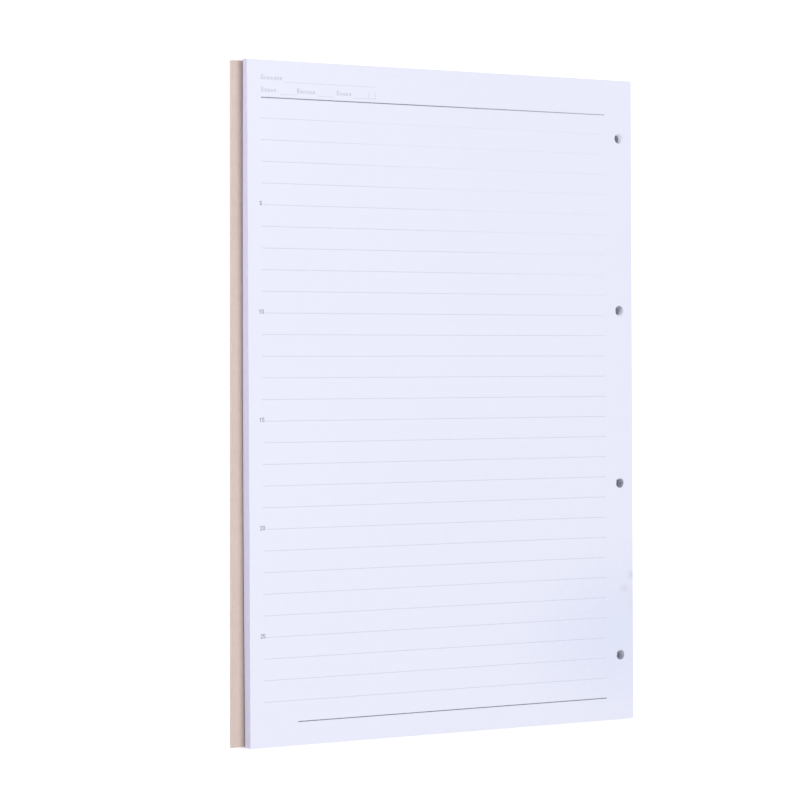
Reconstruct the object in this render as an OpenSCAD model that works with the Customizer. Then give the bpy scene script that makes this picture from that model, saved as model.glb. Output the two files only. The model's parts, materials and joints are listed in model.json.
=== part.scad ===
// Ruled refill sheets for a ring binder, lying loose on a stiff backing board.
// The head of the sheets points to +Y, the punched long edge to +X and the print to +Z.
// The origin is on the table, under the middle of the whole outline.

/* [Sheets] */
// Width of one sheet
sheet_w = 210; // [150:1:300]
// Height of one sheet
sheet_h = 297; // [265:1:420]
// Number of sheets in the refill
sheet_count = 50; // [10:1:200]
// Thickness of one sheet
sheet_t = 0.088; // [0.06:0.002:0.2]

/* [Backing board] */
// Thickness of the board
board_t = 1; // [0.5:0.1:4]
// How far the board stands out past the plain long edge of the sheets
board_side = 6.2; // [0:0.1:20]
// How far the board stops short of the sheets at the head and at the foot
board_short = 0.5; // [0:0.1:10]

/* [Ring holes] */
// Number of holes
hole_count = 4; // [2:1:4]
// How far the row of holes lies towards the head from the middle of the sheet
hole_up = 1.5; // [-6:0.5:6]
// Distance from one hole to the next
hole_pitch = 80; // [30:1:85]
// Diameter of a hole
hole_d = 4.6; // [3:0.1:8]
// Distance from the punched edge to the middle of a hole
hole_edge = 7.5; // [5:0.5:15]

/* [Ruling] */
// Number of writing lines
line_count = 28; // [10:1:40]
// Breadth of a writing line
line_w = 0.25; // [0.1:0.05:0.6]
// Breadth of the dark rules at the head and the foot
rule_w = 0.4; // [0.2:0.05:1]
// Distance from the head of the sheet to the head rule
head_rule_down = 16.3; // [16:0.1:20]
// Distance from the head of the sheet to the first writing line
first_line_down = 25.2; // [22:0.1:40]
// Distance from the foot of the sheet to the foot rule
foot_rule_up = 10.3; // [5:0.1:20]
// Bare paper between the plain edge and the start of the lines
ruling_margin = 6.9; // [5.5:0.1:15]
// Bare paper between the end of the lines and the holes
hole_clear = 6; // [2:0.1:15]
// Length of bare paper left in front of the foot rule
foot_rule_gap = 17.5; // [0:0.5:60]

/* [Line numbers] */
// Every so many lines carry a number
number_step = 5; // [5:5:10]
// Height of a digit
digit_h = 1.9; // [1.2:0.1:4]
// Breadth of a digit's stroke
digit_stroke = 0.28; // [0.1:0.02:0.4]
// Gap between two digits
digit_gap = 0.25; // [0.1:0.05:1]
// Gap between a number and its line
number_gap = 0.4; // [0.2:0.1:3]
// Distance from the plain edge of the sheet to the numbers
number_margin = 5.4; // [2:0.1:10]
// How far the middle of a number lies above its line
number_lift = 0.6; // [0:0.1:2]

/* [Header fields] */
// Height of the block that stands for a small letter
letter_h = 1.3; // [0.6:0.1:2]
// Breadth of a small letter's block
letter_w = 1.2; // [0.6:0.1:1.5]
// Gap between two blocks of a word
letter_gap = 0.4; // [0.2:0.1:1]
// Height of the block that stands for a capital letter
capital_h = 2.1; // [1:0.1:3]
// Breadth of the capital's block
capital_w = 1.3; // [0.6:0.1:2]
// Distance from the head of the sheet to the foot of the words in the first row
first_row_down = 8.5; // [5:0.1:10]
// Distance from the head of the sheet to the foot of the words in the second row
second_row_down = 13.8; // [12.8:0.1:14]
// How far a field's line lies under the foot of its words
field_drop = 0.8; // [0.3:0.1:1]
// Breadth of a field's line
field_line_w = 0.2; // [0.1:0.05:0.4]

/* [Print] */
// Thickness of the printed film on the paper
ink_t = 0.03; // [0.01:0.01:0.1]

/* [Hidden] */
$fn = 48;

// Entries of the header rows: start behind the margin, letters, gap, length of the line to write on.
FIRST_ROW = [[0, 7, 1.4, 47.2]];
SECOND_ROW = [[0, 5, 2.3, 8], [18.4, 6, 1.7, 8.5], [38.9, 5, 1.3, 11.6]];
// Distance between the two short uprights that close the last line.
END_MARKS_APART = 3.4;

stack_t = sheet_count * sheet_t;
paper_z = board_t + stack_t;
overall_w = sheet_w + board_side;
board_h = sheet_h - 2 * board_short;

// The sheets' own edges: the board is flush with the punched edge.
punched_x = overall_w / 2;
plain_x = punched_x - sheet_w;
head_y = sheet_h / 2;
foot_y = -sheet_h / 2;

hole_x = punched_x - hole_edge;
through = 1;

ruling_x = plain_x + ruling_margin;
ruling_end_x = hole_x - hole_d / 2 - hole_clear;
foot_rule_y = foot_y + foot_rule_up;
line_pitch = (head_y - first_line_down - foot_rule_y) / line_count;

// Two round bowls on top of each other, one stroke deep in each other, fill a digit's height.
digit_w = (digit_h + digit_stroke) / 2;
number_x = plain_x + number_margin;
numbered_line_x = max(ruling_x, number_x + 2 * digit_w + digit_gap + number_gap);

function hole_y(i) = hole_up + (i - (hole_count - 1) / 2) * hole_pitch;
function line_y(i) = head_y - first_line_down - (i - 1) * line_pitch;
function has_number(i) = i % number_step == 0;
function line_x(i) = has_number(i) ? numbered_line_x : ruling_x;

// Round holes through everything that the rings pass through.
module ring_holes(depth) {
    for (i = [0 : hole_count - 1])
        translate([hole_x, hole_y(i), -through])
            cylinder(d = hole_d, h = depth + 2 * through);
}

module backing_board() {
    color([0.85, 0.78, 0.74])
        difference() {
            translate([-overall_w / 2, -board_h / 2, 0])
                cube([overall_w, board_h, board_t]);
            ring_holes(board_t);
        }
}

module sheet_stack() {
    color([0.92, 0.93, 0.98])
        translate([0, 0, board_t])
            difference() {
                translate([plain_x, foot_y, 0])
                    cube([sheet_w, sheet_h, stack_t]);
                ring_holes(stack_t);
            }
}

// Gives flat print its film and lays it on the top sheet.
module printed() {
    translate([0, 0, paper_z])
        linear_extrude(ink_t)
            children();
}

// A level line of print whose middle is at height y.
module level_line(x, y, length, breadth) {
    translate([x, y - breadth / 2])
        square([length, breadth]);
}

module writing_lines() {
    color([0.84, 0.85, 0.89])
        printed()
            for (i = [1 : line_count])
                level_line(line_x(i), line_y(i), ruling_end_x - line_x(i), line_w);
}

module head_foot_rules() {
    foot_rule_x = ruling_x + foot_rule_gap;
    color([0.55, 0.56, 0.6])
        printed() {
            level_line(ruling_x, head_y - head_rule_down, ruling_end_x - ruling_x, rule_w);
            level_line(foot_rule_x, foot_rule_y, ruling_end_x - foot_rule_x, rule_w);
        }
}

// An upright slot with round ends.
module round_slot(w, h) {
    square([w, h - w], center = true);
    for (side = [-1, 1])
        translate([0, side * (h - w) / 2])
            circle(d = w);
}

// A ring one digit wide and one stroke broad.
module bowl() {
    difference() {
        circle(d = digit_w);
        circle(d = digit_w - 2 * digit_stroke);
    }
}

// Bowl at the top or the foot of a digit, without the quarter that its hook leaves open.
module open_bowl(side) {
    difference() {
        translate([0, side * (digit_h - digit_w) / 2])
            bowl();
        translate([-digit_w, side > 0 ? 0 : -digit_h / 2 + digit_w / 2])
            square([digit_w, digit_h / 2 - digit_w / 2]);
    }
}

module digit_0() {
    difference() {
        round_slot(digit_w, digit_h);
        round_slot(digit_w - 2 * digit_stroke, digit_h - 2 * digit_stroke);
    }
}

module digit_1() {
    translate([-digit_stroke / 2, -digit_h / 2])
        square([digit_stroke, digit_h]);
    polygon([[0, digit_h / 2], [-digit_w / 2, digit_h / 2 - digit_w / 2],
             [-digit_w / 2, digit_h / 2 - digit_w / 2 - digit_stroke],
             [0, digit_h / 2 - digit_stroke]]);
}

module digit_2() {
    bowl_y = (digit_h - digit_w) / 2;
    base_y = -digit_h / 2;
    intersection() {
        translate([0, bowl_y])
            bowl();
        translate([-digit_w / 2, bowl_y])
            square([digit_w, digit_w]);
    }
    polygon([[digit_w / 2, bowl_y], [digit_w / 2 - digit_stroke, bowl_y], [-digit_w / 2, base_y],
             [-digit_w / 2 + digit_stroke, base_y]]);
    translate([-digit_w / 2, base_y])
        square([digit_w, digit_stroke]);
}

module digit_3() {
    open_bowl(1);
    open_bowl(-1);
    level_line(-digit_w / 4, 0, digit_w / 4, digit_stroke);
}

module digit_4() {
    bar_y = -digit_h / 5;
    stem_x = digit_w / 6;
    translate([stem_x, -digit_h / 2])
        square([digit_stroke, digit_h]);
    level_line(-digit_w / 2, bar_y, digit_w, digit_stroke);
    polygon([[stem_x, digit_h / 2], [stem_x + digit_stroke, digit_h / 2],
             [-digit_w / 2 + digit_stroke, bar_y], [-digit_w / 2, bar_y]]);
}

module digit_5() {
    translate([-digit_w / 2, 0])
        square([digit_stroke, digit_h / 2]);
    level_line(-digit_w / 2, (digit_h - digit_stroke) / 2, digit_w, digit_stroke);
    level_line(-digit_w / 2, 0, digit_w / 2, digit_stroke);
    open_bowl(-1);
}

module digit(n) {
    if (n == 0) digit_0();
    if (n == 1) digit_1();
    if (n == 2) digit_2();
    if (n == 3) digit_3();
    if (n == 4) digit_4();
    if (n == 5) digit_5();
}

// One or two digits in the middle of a field that is two digits wide and starts at x = 0.
module number(n) {
    digits = n < 10 ? [n] : [floor(n / 10), n % 10];
    step = digit_w + digit_gap;
    start_x = digit_w / 2 + (2 - len(digits)) * step / 2;
    for (place = [0 : len(digits) - 1])
        translate([start_x + place * step, 0])
            digit(digits[place]);
}

module line_numbers() {
    color([0.5, 0.51, 0.56])
        printed()
            for (i = [number_step : number_step : line_count])
                translate([number_x, line_y(i) + number_lift])
                    number(i);
}

function word_w(letters) = capital_w + (letters - 1) * (letter_gap + letter_w);
function field_x(entry) = ruling_x + entry[0] + word_w(entry[1]) + entry[2];
function field_end_x(entry) = field_x(entry) + entry[3];

// A row of plain blocks, the first one taller, in the place and at the size of a word.
module word_blocks(letters) {
    square([capital_w, capital_h]);
    for (i = [2 : letters])
        translate([word_w(i) - letter_w, 0])
            square([letter_w, letter_h]);
}

module header_row(entries, row_y) {
    for (entry = entries) {
        translate([ruling_x + entry[0], row_y])
            word_blocks(entry[1]);
        level_line(field_x(entry), row_y - field_drop, entry[3], field_line_w);
    }
}

module header_fields() {
    second_row_y = head_y - second_row_down;
    last_end_x = field_end_x(SECOND_ROW[len(SECOND_ROW) - 1]);
    color([0.85, 0.87, 0.93])
        printed() {
            header_row(FIRST_ROW, head_y - first_row_down);
            header_row(SECOND_ROW, second_row_y);
            for (apart = [0, END_MARKS_APART])
                translate([last_end_x - apart - field_line_w, second_row_y - field_drop])
                    square([field_line_w, capital_h + field_drop]);
        }
}

backing_board();
sheet_stack();
writing_lines();
head_foot_rules();
line_numbers();
header_fields();
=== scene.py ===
"""Ruled refill sheets for a ring binder, lying loose on a kraft backing board."""
import json
import math

import bmesh
import bpy
import numpy as np
from mathutils import Matrix, Vector


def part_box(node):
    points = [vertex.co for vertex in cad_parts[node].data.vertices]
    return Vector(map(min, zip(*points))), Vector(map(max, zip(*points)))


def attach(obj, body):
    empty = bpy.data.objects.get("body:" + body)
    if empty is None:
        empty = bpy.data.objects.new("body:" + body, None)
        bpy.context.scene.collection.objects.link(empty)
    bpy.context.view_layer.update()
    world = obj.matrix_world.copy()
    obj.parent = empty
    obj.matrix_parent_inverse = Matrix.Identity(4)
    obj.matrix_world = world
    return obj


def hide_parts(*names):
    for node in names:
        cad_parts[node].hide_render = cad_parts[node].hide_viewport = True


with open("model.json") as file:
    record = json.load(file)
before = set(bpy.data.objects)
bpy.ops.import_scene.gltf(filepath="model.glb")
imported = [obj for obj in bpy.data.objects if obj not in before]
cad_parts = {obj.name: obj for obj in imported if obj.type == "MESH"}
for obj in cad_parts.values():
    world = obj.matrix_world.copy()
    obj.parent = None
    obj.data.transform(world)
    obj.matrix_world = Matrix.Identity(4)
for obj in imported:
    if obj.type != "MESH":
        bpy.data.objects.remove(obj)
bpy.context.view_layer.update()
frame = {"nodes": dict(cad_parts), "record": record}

MM = 0.001
# Points closer than this are one
WELD = 0.001 * MM

BOARD_LOW, BOARD_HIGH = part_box("backing_board")
STACK_LOW, STACK_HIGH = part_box("sheet_stack")
RING_HOLES = [m for m in frame["record"]["mounts"] if m["kind"] == "bore"]
HOLE_PLACES = np.array(sorted((m["pos_m"][:2] for m in RING_HOLES), key=lambda place: place[1]))
HOLE_R = RING_HOLES[0]["dims"]["r_mm"] * MM

# The stack of sheets, and the groove between one sheet and the next, as a share of a sheet's thickness
SHEETS = 50
SHEET_T = (STACK_HIGH.z - STACK_LOW.z) / SHEETS
GROOVE = 0.03 * MM
GROOVE_SHARE = 0.12
# How far the sheets nearest to the board are tucked in, and how many of them
FOOT_GAP = 0.28 * MM
FOOT_GAP_SHEETS = 3
# The lowest sheet's turn, and its bow outwards at the plain edge
LOWEST_TURN = math.radians(-0.12)
LOWEST_BOW = 0.6 * MM
# How far sheets stray: slowly through the stack, and each by itself. The top quarter strays less and less.
SLOW_DRIFT = 0.09 * MM
SHEET_JITTER = 0.035 * MM
TRUE_SHARE = 0.25
# How far the lower sheets' holes have slipped in x and y, and within what depth they do so, each from the
# hole at the foot to the one at the head
HOLE_SLIPS = np.array([(-0.3, -0.3), (-0.1, -0.25), (-0.9, 0.4), (-1.9, -0.3)]) * MM
SLIP_DEPTHS = np.array([2.5, 1.5, 2.4, 1.8]) * MM
HOLE_WANDER = 0.15 * MM

# The backing board: the depth of its soft arrises, its plain edge's lean and the roughness of its cut
BOARD_RIM = 0.12 * MM
BOARD_ASKEW = 0.8 * MM
BOARD_FUZZ = 0.025 * MM
# Its wall from the underside up: height as a share of the thickness, and bulge as a share of the rim
BOARD_PROFILE = np.array([
    (0.0, 0.0), (0.03, 0.55), (0.1, 0.9), (0.25, 1.0), (0.4, 1.0), (0.55, 1.0), (0.7, 1.0), (0.82, 1.0),
    (0.92, 0.85), (0.98, 0.5), (1.0, 0.0)])
CUT_SHARE = 0.8

# Steps of the grids that the punched pieces are made of
FIELD_STEPS = 20
CELL_STEPS = 8
LONG_STEPS = 16
CELL_REACH = 10 * MM
RING_SPREAD = (0.0, 0.06, 0.2, 0.5, 1.0)
# A hole's wall shows its sheets' faces where it runs this many times farther aside than down
TERRACE = 3.0

SEED = 11


# Meshes

def grid_faces(rows, columns, closed):
    """Quads between the neighbours of a grid of points; closed joins its last column to its first."""
    index = np.arange(rows * columns).reshape(rows, columns)
    if closed:
        index = np.concatenate([index, index[:, :1]], axis=1)
    quads = np.stack([index[:-1, :-1], index[:-1, 1:], index[1:, 1:], index[1:, :-1]], axis=-1)
    return quads.reshape(-1, 4)


class Skin:
    """Grids of points that together make one closed skin, each with the number of its finish."""

    def __init__(self):
        self.points = []
        self.quads = []
        self.finishes = []
        self.count = 0

    def add(self, grid, finish, closed=False):
        """Adds a grid; its finish is one number, or one for each strip between two of its rows."""
        rows, columns = grid.shape[:2]
        quads = grid_faces(rows, columns, closed)
        self.points.append(grid.reshape(-1, 3))
        self.quads.append(quads + self.count)
        strips = np.broadcast_to(finish, rows - 1)
        self.finishes.append(np.repeat(strips, len(quads) // len(strips)))
        self.count += rows * columns

    def make(self, name, materials):
        """Puts the grids into a mesh, welds the points that they share and turns its faces outwards."""
        mesh = bpy.data.meshes.new(name)
        mesh.from_pydata(np.concatenate(self.points), [], np.concatenate(self.quads))
        mesh.polygons.foreach_set("material_index", np.concatenate(self.finishes).astype(np.int32))
        for material in materials:
            mesh.materials.append(material)
        shell = bmesh.new()
        shell.from_mesh(mesh)
        bmesh.ops.remove_doubles(shell, verts=shell.verts, dist=WELD)
        bmesh.ops.recalc_face_normals(shell, faces=shell.faces)
        shell.to_mesh(mesh)
        shell.free()
        piece = bpy.data.objects.new(name, mesh)
        bpy.context.scene.collection.objects.link(piece)
        return piece


def even_steps(marks, steps):
    """Places from the first mark to the last, in even steps between one mark and the next."""
    spans = [np.linspace(a, b, n, endpoint=False) for a, b, n in zip(marks[:-1], marks[1:], steps)]
    return np.append(np.concatenate(spans), marks[-1])


def rectangle_path(x_steps, y_steps):
    """Points anticlockwise round a rectangle, from its lower left corner."""
    left, right = x_steps[0], x_steps[-1]
    foot, head = y_steps[0], y_steps[-1]
    x = np.concatenate([x_steps[:-1], np.full(len(y_steps) - 1, right), x_steps[:0:-1],
                        np.full(len(y_steps) - 1, left)])
    y = np.concatenate([np.full(len(x_steps) - 1, foot), y_steps[:-1],
                        np.full(len(x_steps) - 1, head), y_steps[:0:-1]])
    return np.stack([x, y], axis=-1)


def outward(path):
    """The way out of a rectangle at each point of its path: along x, along y, or both at a corner."""
    low, high = path.min(axis=0), path.max(axis=0)
    return (path > high - WELD).astype(float) - (path < low + WELD).astype(float)


def moved(places, turn, shift):
    """Places turned about the origin by an angle and then shifted, one angle and shift for each row."""
    cos, sin = np.cos(turn)[:, None], np.sin(turn)[:, None]
    x, y = places[..., 0], places[..., 1]
    return np.stack([cos * x - sin * y + shift[:, :1], sin * x + cos * y + shift[:, 1:]], axis=-1)


def at_height(places, z):
    """Places in the plane lifted to a height, which is one number or one for each row."""
    height = np.broadcast_to(np.asarray(z, float).reshape(-1, 1), places.shape[:2])
    return np.concatenate([places, height[..., None]], axis=-1)


def punched_block(name, low, high, rim, rows, finishes):
    """A rectangular block with the ring holes through it.

    Its wall is the outline of its faces carried up through the rows. Each row has a height z, a bulge by
    which it stands out past the outline, a turn, a shift, and for each hole a slip. Its plain edge leans by
    askew * y / half height and bows out by bow * (1 - (y / half height) ** 2), both fading out to nothing
    at the holes. Each face is a plain grid beside one cell per hole, and a cell's points run from the
    hole's circle, t = 0, straight to the cell's border, t = 1.
    """
    skin = Skin()
    cell_x = HOLE_PLACES[0, 0] - CELL_REACH
    left, right = low.x + rim, high.x - rim
    foot, head = low.y + rim, high.y - rim
    between = (HOLE_PLACES[:-1, 1] + HOLE_PLACES[1:, 1]) / 2
    y_marks = np.concatenate([[foot], between, [head]])
    x_field = even_steps([left, cell_x], [FIELD_STEPS])
    x_cell = even_steps([cell_x, right], [CELL_STEPS])
    y_all = even_steps(y_marks, [LONG_STEPS] * len(HOLE_PLACES))

    def shaped(places, levels, out=0.0):
        """The places on each level: leaning, bowed, pushed out, then turned and shifted."""
        share = np.clip((cell_x - places[:, 0]) / (cell_x - left), 0, 1)
        along = places[:, 1] / head
        lean = levels["askew"][:, None] * along - levels["bow"][:, None] * (1 - along ** 2)
        x = places[:, 0] + lean * share
        y = np.broadcast_to(places[:, 1], x.shape)
        return moved(np.stack([x, y], axis=-1) + out, levels["turn"], levels["shift"])

    border = rectangle_path(np.concatenate([x_field[:-1], x_cell]), y_all)
    wall = shaped(border, rows, outward(border) * rows["bulge"][:, None, None])
    skin.add(at_height(wall, rows["z"]), finishes["edge"], closed=True)

    # A cell's path starts at its lower left corner, which a circle's point at 240 degrees goes with.
    around = 2 * (CELL_STEPS + LONG_STEPS)
    angle = np.linspace(0, 2 * np.pi, around, endpoint=False) + np.pi * 4 / 3
    circle = np.stack([np.cos(angle), np.sin(angle)], axis=-1)
    radius = HOLE_R + rim - rows["bulge"]
    ends = {key: values[[0, -1]] for key, values in rows.items()}
    spread = np.array(RING_SPREAD)[:, None, None]
    for hole, centre in enumerate(HOLE_PLACES):
        middle = moved(np.broadcast_to(centre, (len(rows["z"]), 1, 2)), rows["turn"], rows["shift"])
        middle = middle + rows["slip"][:, hole][:, None]
        ring = middle + circle * radius[:, None, None]
        aside = np.linalg.norm(np.diff(middle[:, 0], axis=0), axis=-1)
        finish = np.where(aside > TERRACE * np.diff(rows["z"]), finishes["face"], finishes["hole"])
        skin.add(at_height(ring, rows["z"]), finish, closed=True)
        cell = shaped(rectangle_path(x_cell, even_steps(y_marks[hole:hole + 2], [LONG_STEPS])), ends)
        for end in (0, -1):
            face = ring[end] * (1 - spread) + cell[end] * spread
            height = np.full(len(face), ends["z"][end])
            skin.add(at_height(face, height), finishes["face"], closed=True)

    field = np.stack(np.meshgrid(x_field, y_all, indexing="ij"), axis=-1)
    for plane, z in zip(shaped(field.reshape(-1, 2), ends), ends["z"]):
        skin.add(at_height(plane.reshape(field.shape), np.full(len(field), z)), finishes["face"])
    return skin.make(name, finishes["materials"])


# Shaders

class Value:
    """A socket in a shader's graph; arithmetic on it adds Math nodes."""

    def __init__(self, graph, socket):
        self.graph = graph
        self.socket = socket

    def __add__(self, other):
        return self.graph.maths("ADD", self, other)

    __radd__ = __add__

    def __mul__(self, other):
        return self.graph.maths("MULTIPLY", self, other)

    __rmul__ = __mul__

    def __sub__(self, other):
        return self.graph.maths("SUBTRACT", self, other)

    def __rsub__(self, other):
        return self.graph.maths("SUBTRACT", other, self)

    def floor(self):
        return self.graph.maths("FLOOR", self)


class Graph:
    """The node tree of one material or of the world."""

    def __init__(self, tree):
        self.tree = tree
        tree.nodes.clear()

    def node(self, kind, settings=(), inputs=(), output=0):
        """Adds a node, makes its settings, fills its inputs with values or links, and gives one output."""
        made = self.tree.nodes.new(kind)
        for name, setting in dict(settings).items():
            setattr(made, name, setting)
        for key, content in dict(inputs).items():
            if isinstance(content, Value):
                self.tree.links.new(content.socket, made.inputs[key])
            else:
                made.inputs[key].default_value = content
        return Value(self, made.outputs[output]) if made.outputs else None

    def maths(self, operation, *operands):
        """One Math node on values or plain numbers."""
        return self.node("ShaderNodeMath", {"operation": operation}, dict(enumerate(operands)))

    def place(self, scale, turn):
        """Object coordinates, turned about z and stretched."""
        here = self.node("ShaderNodeTexCoord", output="Object")
        settings = {"Vector": here, "Rotation": (0, 0, turn), "Scale": scale}
        return self.node("ShaderNodeMapping", inputs=settings)

    def axis(self, name):
        """One of the three object coordinates."""
        here = self.node("ShaderNodeTexCoord", output="Object")
        return self.node("ShaderNodeSeparateXYZ", inputs={"Vector": here}, output=name)

    def noise(self, size, detail=2.0, roughness=0.5, stretch=(1, 1, 1), turn=0.0):
        """Soft noise about zero whose patches are about size wide."""
        settings = {"Vector": self.place(stretch, turn), "Scale": 1 / size, "Detail": detail,
                    "Roughness": roughness}
        return self.node("ShaderNodeTexNoise", inputs=settings) - 0.5

    def chance(self, number):
        """A random number about zero for each whole number."""
        return self.node("ShaderNodeTexWhiteNoise", {"noise_dimensions": "1D"}, {"W": number}) - 0.5

    def ramp(self, value, start, end):
        """Smooth step from 0 at start to 1 at end."""
        return self.node("ShaderNodeMapRange", {"interpolation_type": "SMOOTHSTEP"},
                         {"Value": value, "From Min": start, "From Max": end, "To Min": 0.0, "To Max": 1.0})

    def mix(self, share, first, second):
        """A colour between two, by a share from 0 to 1."""
        keys = {0: share, 6: first, 7: second}
        return self.node("ShaderNodeMix", {"data_type": "RGBA"}, keys, output=2)

    def bump(self, height, distance):
        """A normal tilted by a height, of which 1 stands for the distance."""
        return self.node("ShaderNodeBump", inputs={"Height": height, "Distance": distance})


def linear(red, green, blue):
    """A colour given as screen values from 0 to 255, as linear light."""
    screen = np.array([red, green, blue]) / 255
    return (*np.where(screen <= 0.04045, screen / 12.92, ((screen + 0.055) / 1.055) ** 2.4).tolist(), 1.0)


def matte(name, paint, roughness, specular=0.3):
    """A matte material; paint(graph) gives its colour, its change of roughness and its normal."""
    material = bpy.data.materials.new(name)
    material.use_nodes = True
    graph = Graph(material.node_tree)
    colour, rough_change, normal = paint(graph)
    shader = graph.node("ShaderNodeBsdfPrincipled", inputs={
        "Base Color": colour, "Roughness": rough_change + roughness, "Normal": normal,
        "Specular IOR Level": specular})
    graph.node("ShaderNodeOutputMaterial", inputs={"Surface": shader})
    return material


PAPER = linear(238, 240, 255)
PAPER_DIM = linear(233, 235, 253)
PAPER_EDGE = linear(240, 239, 255)
PAPER_EDGE_DIM = linear(229, 228, 253)
HOLE_EDGE = linear(244, 244, 252)
HOLE_EDGE_DIM = linear(230, 231, 242)
BOARD = linear(221, 202, 193)
BOARD_DARK = linear(207, 187, 178)
BOARD_FLECK = linear(176, 150, 138)
BOARD_EDGE = linear(232, 221, 215)
BOARD_EDGE_DARK = linear(212, 199, 191)
BOARD_HOLE = linear(236, 236, 244)
BOARD_HOLE_DARK = linear(220, 220, 230)
LINE_INK = linear(204, 205, 221)
LINE_INK_THIN = linear(230, 232, 247)
RULE_INK = linear(88, 90, 102)
RULE_INK_THIN = linear(172, 174, 187)
NUMBER_INK = linear(130, 131, 146)
NUMBER_INK_THIN = linear(162, 164, 178)
HEADER_INK = linear(206, 210, 224)
HEADER_INK_THIN = linear(230, 233, 246)

# Where inks start to pale and where they have paled, along 0.6 X + Y
LINES_PALE = (62 * MM, 108 * MM)
OTHERS_PALE = (110 * MM, 200 * MM)
# How much inks vary from place to place
EVEN_PRINT = 0.7
PATCHY_PRINT = 2.2

# Patches of painted shade on the top sheet: tint, strength, place inwards from the punched edge and down
# from the head, and reach across and along. The first is painted shade over the lower punched corner, the
# others are small, faint painted shade of a dent at the punched edge.
PAINTED_SHADE_PATCHES = (
    (linear(222, 227, 250), 0.6, (8 * MM, 256 * MM), (60 * MM, 42 * MM)),
    (linear(212, 215, 224), 0.65, (0.9 * MM, 230 * MM), (3.4 * MM, 3.0 * MM)),
    (linear(214, 213, 232), 0.52, (5.0 * MM, 236 * MM), (3.2 * MM, 2.6 * MM)),
    (linear(225, 226, 235), 0.45, (1.5 * MM, 242 * MM), (3.4 * MM, 7.5 * MM)))


def paper_grain(graph):
    """Fine tooth of the sheet: short fibres lying every way over a soft, cloudy formation."""
    along = graph.noise(0.45 * MM, 3.0, 0.6, stretch=(1, 0.35, 1), turn=0.5)
    across = graph.noise(0.4 * MM, 3.0, 0.6, stretch=(0.35, 1, 1), turn=-0.4)
    cloud = graph.noise(5 * MM, 3.0, 0.55)
    return along + across, cloud


def painted_shade_patch(graph, colour, tint, strength, place, reach):
    """A soft, ragged patch of painted shade on the colour, full in its middle and gone at 1.2 times its
    reach.
    """
    across = (graph.axis("X") - (STACK_HIGH.x - place[0])) * (1 / reach[0])
    along = (graph.axis("Y") - (STACK_HIGH.y - place[1])) * (1 / reach[1])
    off = graph.maths("SQRT", across * across + along * along)
    share = graph.ramp(off + graph.noise(2.5 * MM, 2.0) * 0.8, 1.2, 0.0)
    return graph.mix(share * strength, colour, tint)


def writing_paper(graph):
    """Smooth bluish white paper, faintly cloudy, with patches of painted shade."""
    fibres, cloud = paper_grain(graph)
    wide = graph.noise(90 * MM, 1.0)
    colour = graph.mix(0.35 + cloud * 0.5 + fibres * 0.25 + wide * 0.5, PAPER, PAPER_DIM)
    # Painted shade over the lower punched corner and at a dent in the punched edge
    for shade_patch in PAINTED_SHADE_PATCHES:
        colour = painted_shade_patch(graph, colour, *shade_patch)
    return colour, cloud * 0.06 + fibres * 0.05, graph.bump(fibres, 0.012 * MM)


def cut_edge(light, dark, streak):
    """Paint for the cut edges of many sheets: each has its own tone, broken up along its length."""
    def paint(graph):
        sheet = ((graph.axis("Z") - STACK_LOW.z) * (1 / SHEET_T)).floor()
        tone = graph.chance(sheet) * streak
        nap = graph.noise(0.5 * MM, 3.0, 0.65, stretch=(1, 1, 6))
        long_tone = graph.noise(30 * MM, 2.0, 0.5, stretch=(1, 1, 12))
        colour = graph.mix(0.4 + tone + nap * 0.5 + long_tone * 0.5, light, dark)
        return colour, nap * 0.1, graph.bump(nap + tone, 0.02 * MM)
    return paint


def kraft(graph):
    """Uncoated kraft board: pressed fibres in every direction, mottled, with pale and dark flecks."""
    lengthwise = graph.noise(0.6 * MM, 4.0, 0.6, stretch=(1, 0.16, 1), turn=0.2)
    crosswise = graph.noise(0.55 * MM, 4.0, 0.6, stretch=(0.18, 1, 1), turn=-0.3)
    mottle = graph.noise(4 * MM, 3.0, 0.6)
    wide = graph.noise(45 * MM, 2.0, 0.5)
    spots = graph.noise(0.9 * MM, 2.0, 0.5, stretch=(1, 0.4, 1), turn=0.9)
    fleck = graph.ramp(spots, 0.2, 0.3)
    fibres = lengthwise + crosswise
    colour = graph.mix(0.4 + fibres * 0.6 + mottle * 0.7 + wide * 0.5, BOARD, BOARD_DARK)
    colour = graph.mix(fleck * 0.35, colour, BOARD_FLECK)
    return colour, fibres * 0.08, graph.bump(fibres + mottle * 0.5, 0.03 * MM)


def kraft_edge(light, dark):
    """Paint for the board's cut edges: thin pressed layers with a torn nap."""
    def paint(graph):
        layers = graph.noise(0.16 * MM, 3.0, 0.6, stretch=(0.04, 0.04, 1))
        nap = graph.noise(0.35 * MM, 4.0, 0.65)
        colour = graph.mix(0.4 + layers * 0.9 + nap * 0.6, light, dark)
        return colour, nap * 0.1, graph.bump(layers + nap, 0.04 * MM)
    return paint


def ink(full, thin, pale, patchiness):
    """Paint for print: the ink lies thinner on high fibres and pales towards the punched head corner.

    The way to that corner is measured along 0.6 X + Y, and the ink pales between two places on it.
    """
    def paint(graph):
        fibres, cloud = paper_grain(graph)
        uneven = graph.noise(1.5 * MM, 3.0, 0.6)
        corner = graph.ramp(graph.axis("X") * 0.6 + graph.axis("Y"), *pale)
        colour = graph.mix(0.3 + fibres * 0.5 + uneven * patchiness + corner * 0.7, full, thin)
        return colour, cloud * 0.06, graph.bump(fibres, 0.012 * MM)
    return paint


# Pieces

def waves(rng, depth, size):
    """A slow wander in x and y over the depth: three sine waves, the quicker ones smaller."""
    swings = np.array([1.3, 2.9, 6.1])[:, None, None]
    phase = rng.uniform(0, 2 * np.pi, (3, 1, 2))
    return size * (np.sin(2 * np.pi * swings * depth[:, None] + phase) / swings ** 0.5).sum(axis=0)


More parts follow.
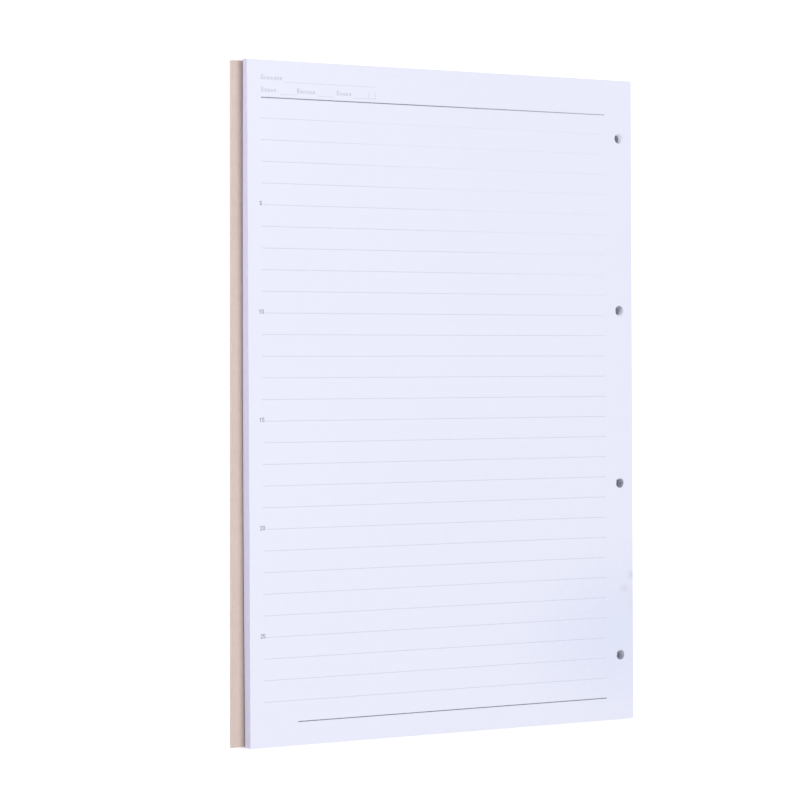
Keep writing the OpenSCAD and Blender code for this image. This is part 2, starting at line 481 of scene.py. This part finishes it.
def sheet_rows():
    """Rows of the stack's wall: a foot row, then each sheet's lower edge, upper edge and groove.

    Depth runs from 0 at the top sheet, which lies where it should, to 1 at the lowest one. All that has
    strayed fades out towards the top sheet. A hole's slip is far * share * (2 - share), where the share
    grows from 0 at the top sheet to 1 at the hole's slip depth.
    """
    rng = np.random.default_rng(SEED)
    step = np.arange(SHEETS)
    levels = np.stack([step + GROOVE_SHARE, step + 1 - GROOVE_SHARE, step + 1.0], axis=-1).ravel()
    z = STACK_LOW.z + SHEET_T * np.concatenate([[0.0], levels])
    own = np.concatenate([[0], np.repeat(step, 3)])
    next_up = np.minimum(step + 1, SHEETS - 1)
    above = np.concatenate([[0], np.stack([step, step, next_up], axis=-1).ravel()])
    depth = 1 - step / (SHEETS - 1)
    fade = np.minimum(depth / TRUE_SHARE, 1)[:, None]
    shift = (waves(rng, depth, SLOW_DRIFT) + rng.normal(0, SHEET_JITTER, (SHEETS, 2))) * fade
    tucked = np.clip((FOOT_GAP_SHEETS - step) / FOOT_GAP_SHEETS, 0, 1)
    below_top = (SHEETS - 1 - step) * SHEET_T
    slips = []
    for far, reach in zip(HOLE_SLIPS, SLIP_DEPTHS):
        share = np.clip(below_top / reach, 0, 1)[:, None]
        slips.append(far * share * (2 - share) + waves(rng, depth, HOLE_WANDER) * fade)

    def of_rows(values):
        """A sheet's value on its own rows, and the mean of two sheets' values in the groove between."""
        return (values[own] + values[above]) / 2

    bulge = np.concatenate([[0.0], np.tile([GROOVE, GROOVE, 0.0], SHEETS)])
    return {"z": z, "bulge": bulge - FOOT_GAP * of_rows(tucked), "turn": of_rows(LOWEST_TURN * depth),
            "shift": of_rows(shift), "slip": of_rows(np.stack(slips, axis=1)),
            "askew": np.zeros(len(z)), "bow": of_rows(LOWEST_BOW * depth)}


def board_rows():
    """Rows of the board's wall: soft arrises above and below, and a slightly ragged cut between."""
    rng = np.random.default_rng(SEED + 1)
    thick = BOARD_HIGH.z - BOARD_LOW.z
    share, out = BOARD_PROFILE.T
    fuzz = rng.uniform(-BOARD_FUZZ, 0, len(share)) * (out > CUT_SHARE)
    count = len(share)
    return {"z": BOARD_LOW.z + thick * share, "bulge": BOARD_RIM * out + fuzz, "turn": np.zeros(count),
            "shift": np.zeros((count, 2)), "slip": np.zeros((count, len(HOLE_PLACES), 2)),
            "askew": np.full(count, BOARD_ASKEW), "bow": np.zeros(count)}


def loose_sheets():
    """The ruled sheets, squared up but not perfectly, so that their edges and holes stray a little."""
    materials = [matte("writing_paper", writing_paper, 0.72),
                 matte("sheet_edges", cut_edge(PAPER_EDGE, PAPER_EDGE_DIM, 0.5), 0.85, 0.2),
                 matte("punched_edges", cut_edge(HOLE_EDGE, HOLE_EDGE_DIM, 0.5), 0.9, 0.1)]
    finishes = {"face": 0, "edge": 1, "hole": 2, "materials": materials}
    piece = punched_block("loose_sheets", STACK_LOW, STACK_HIGH, GROOVE, sheet_rows(), finishes)
    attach(piece, "root")
    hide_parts("sheet_stack")
    return piece


def kraft_board():
    """The stiff board that the sheets lie on."""
    materials = [matte("kraft_face", kraft, 0.88, 0.2),
                 matte("kraft_cut_edge", kraft_edge(BOARD_EDGE, BOARD_EDGE_DARK), 0.92, 0.15),
                 matte("kraft_punched_edge", kraft_edge(BOARD_HOLE, BOARD_HOLE_DARK), 0.92, 0.15)]
    finishes = {"face": 0, "edge": 1, "hole": 2, "materials": materials}
    piece = punched_block("kraft_board", BOARD_LOW, BOARD_HIGH, BOARD_RIM, board_rows(), finishes)
    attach(piece, "root")
    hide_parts("backing_board")
    return piece


def printed(node, full, thin, pale, patchiness):
    """Gives a printed node its ink, through its material slots."""
    material = matte(node + "_ink", ink(full, thin, pale, patchiness), 0.7)
    for slot in frame["nodes"][node].material_slots:
        slot.material = material


# Stage

def backdrop_share(graph):
    """1 for a ray from the camera or one that gloss or glass sends on, and 0 for light on the object."""
    rays = [graph.node("ShaderNodeLightPath", output=name)
            for name in ("Is Camera Ray", "Is Glossy Ray", "Is Transmission Ray")]
    return graph.maths("MAXIMUM", rays[0], graph.maths("MAXIMUM", rays[1], rays[2]))


SKY_LIGHT = 0.36
FLOOR_TONE = 0.8
# Light added to the floor where it is seen
FLOOR_LIFT = 0.45
FLOOR_SIZE = 6.0
# The floor lies this far below the board, so that the two don't share a plane
FLOOR_DROP = 0.02 * MM


def white_world():
    """Even light from all round, and plain white where it is seen."""
    world = bpy.data.worlds.new("white_room")
    bpy.context.scene.world = world
    world.use_nodes = True
    graph = Graph(world.node_tree)
    seen = backdrop_share(graph)
    strength = seen * (1 - SKY_LIGHT) + SKY_LIGHT
    sky = graph.node("ShaderNodeBackground", inputs={"Color": (1, 1, 1, 1), "Strength": strength})
    graph.node("ShaderNodeOutputWorld", inputs={"Surface": sky})


def white_floor():
    """A white floor that takes the object's shadow; what is seen of it is lifted to plain white."""
    mesh = bpy.data.meshes.new("floor")
    half = FLOOR_SIZE / 2
    corners = [(x, y, -FLOOR_DROP) for x, y in ((-half, -half), (half, -half), (half, half), (-half, half))]
    mesh.from_pydata(corners, [], [(0, 1, 2, 3)])
    material = bpy.data.materials.new("white_floor")
    material.use_nodes = True
    graph = Graph(material.node_tree)
    tone = (FLOOR_TONE, FLOOR_TONE, FLOOR_TONE, 1)
    diffuse = graph.node("ShaderNodeBsdfDiffuse", inputs={"Color": tone})
    lift = graph.node("ShaderNodeEmission", inputs={"Strength": backdrop_share(graph) * FLOOR_LIFT})
    both = graph.node("ShaderNodeAddShader", inputs={0: diffuse, 1: lift})
    graph.node("ShaderNodeOutputMaterial", inputs={"Surface": both})
    mesh.materials.append(material)
    floor = bpy.data.objects.new("floor", mesh)
    bpy.context.scene.collection.objects.link(floor)


def aimed(place, target):
    """The matrix that stands a lamp at a place and turns it to a target."""
    turn = (Vector(target) - Vector(place)).to_track_quat("-Z", "Y").to_matrix().to_4x4()
    return Matrix.Translation(place) @ turn


KEY_PLACE = (0.38, 0.06, 0.9)
KEY_ENERGY = 1.86
KEY_ANGLE = math.radians(36)
FILL_PLACE = (-1.0, 0.35, 0.2)
FILL_ENERGY = 3.95
FILL_SIZE = 0.35


def lamp(name, kind, place, energy):
    """A lamp at a place, turned to the middle of the object's underside."""
    light = bpy.data.lights.new(name, kind)
    light.energy = energy
    stand = bpy.data.objects.new(name, light)
    stand.matrix_world = aimed(place, (0, 0, 0))
    bpy.context.scene.collection.objects.link(stand)
    return light


def lamps():
    """A high, soft sun beyond the punched edge, and a low lamp beyond the plain edge for the cut edges."""
    lamp("key", "SUN", KEY_PLACE, KEY_ENERGY).angle = KEY_ANGLE
    lamp("fill", "AREA", FILL_PLACE, FILL_ENERGY).size = FILL_SIZE


# Camera, as the photo sees the sheet: turned about its long edge, a little nodding and rolled
LENS = 146.5
SWING = math.radians(34.398)
NOD = math.radians(0.47)
ROLL = math.radians(0.265)
PAGE_PLACE = Vector((21.64, -0.88, -1459.2)) * MM


def camera():
    """Puts the middle of the top sheet at its place in front of the camera."""
    data = bpy.data.cameras.new("camera")
    data.lens = LENS
    data.clip_start = 0.01
    data.clip_end = 20
    made = bpy.data.objects.new("camera", data)
    middle = Vector(((STACK_LOW.x + STACK_HIGH.x) / 2, (STACK_LOW.y + STACK_HIGH.y) / 2, STACK_HIGH.z))
    turn = Matrix.Rotation(ROLL, 4, "Z") @ Matrix.Rotation(NOD, 4, "X") @ Matrix.Rotation(SWING, 4, "Y")
    seen = Matrix.Translation(PAGE_PLACE) @ turn
    made.matrix_world = Matrix.Translation(middle) @ seen.inverted()
    bpy.context.scene.collection.objects.link(made)
    bpy.context.scene.camera = made


camera()
white_world()
white_floor()
lamps()
kraft_board()
loose_sheets()
printed("writing_lines", LINE_INK, LINE_INK_THIN, LINES_PALE, EVEN_PRINT)
printed("head_foot_rules", RULE_INK, RULE_INK_THIN, OTHERS_PALE, EVEN_PRINT)
printed("line_numbers", NUMBER_INK, NUMBER_INK_THIN, OTHERS_PALE, EVEN_PRINT)
printed("header_fields", HEADER_INK, HEADER_INK_THIN, OTHERS_PALE, PATCHY_PRINT)
bpy.context.scene.view_settings.view_transform = "Standard"
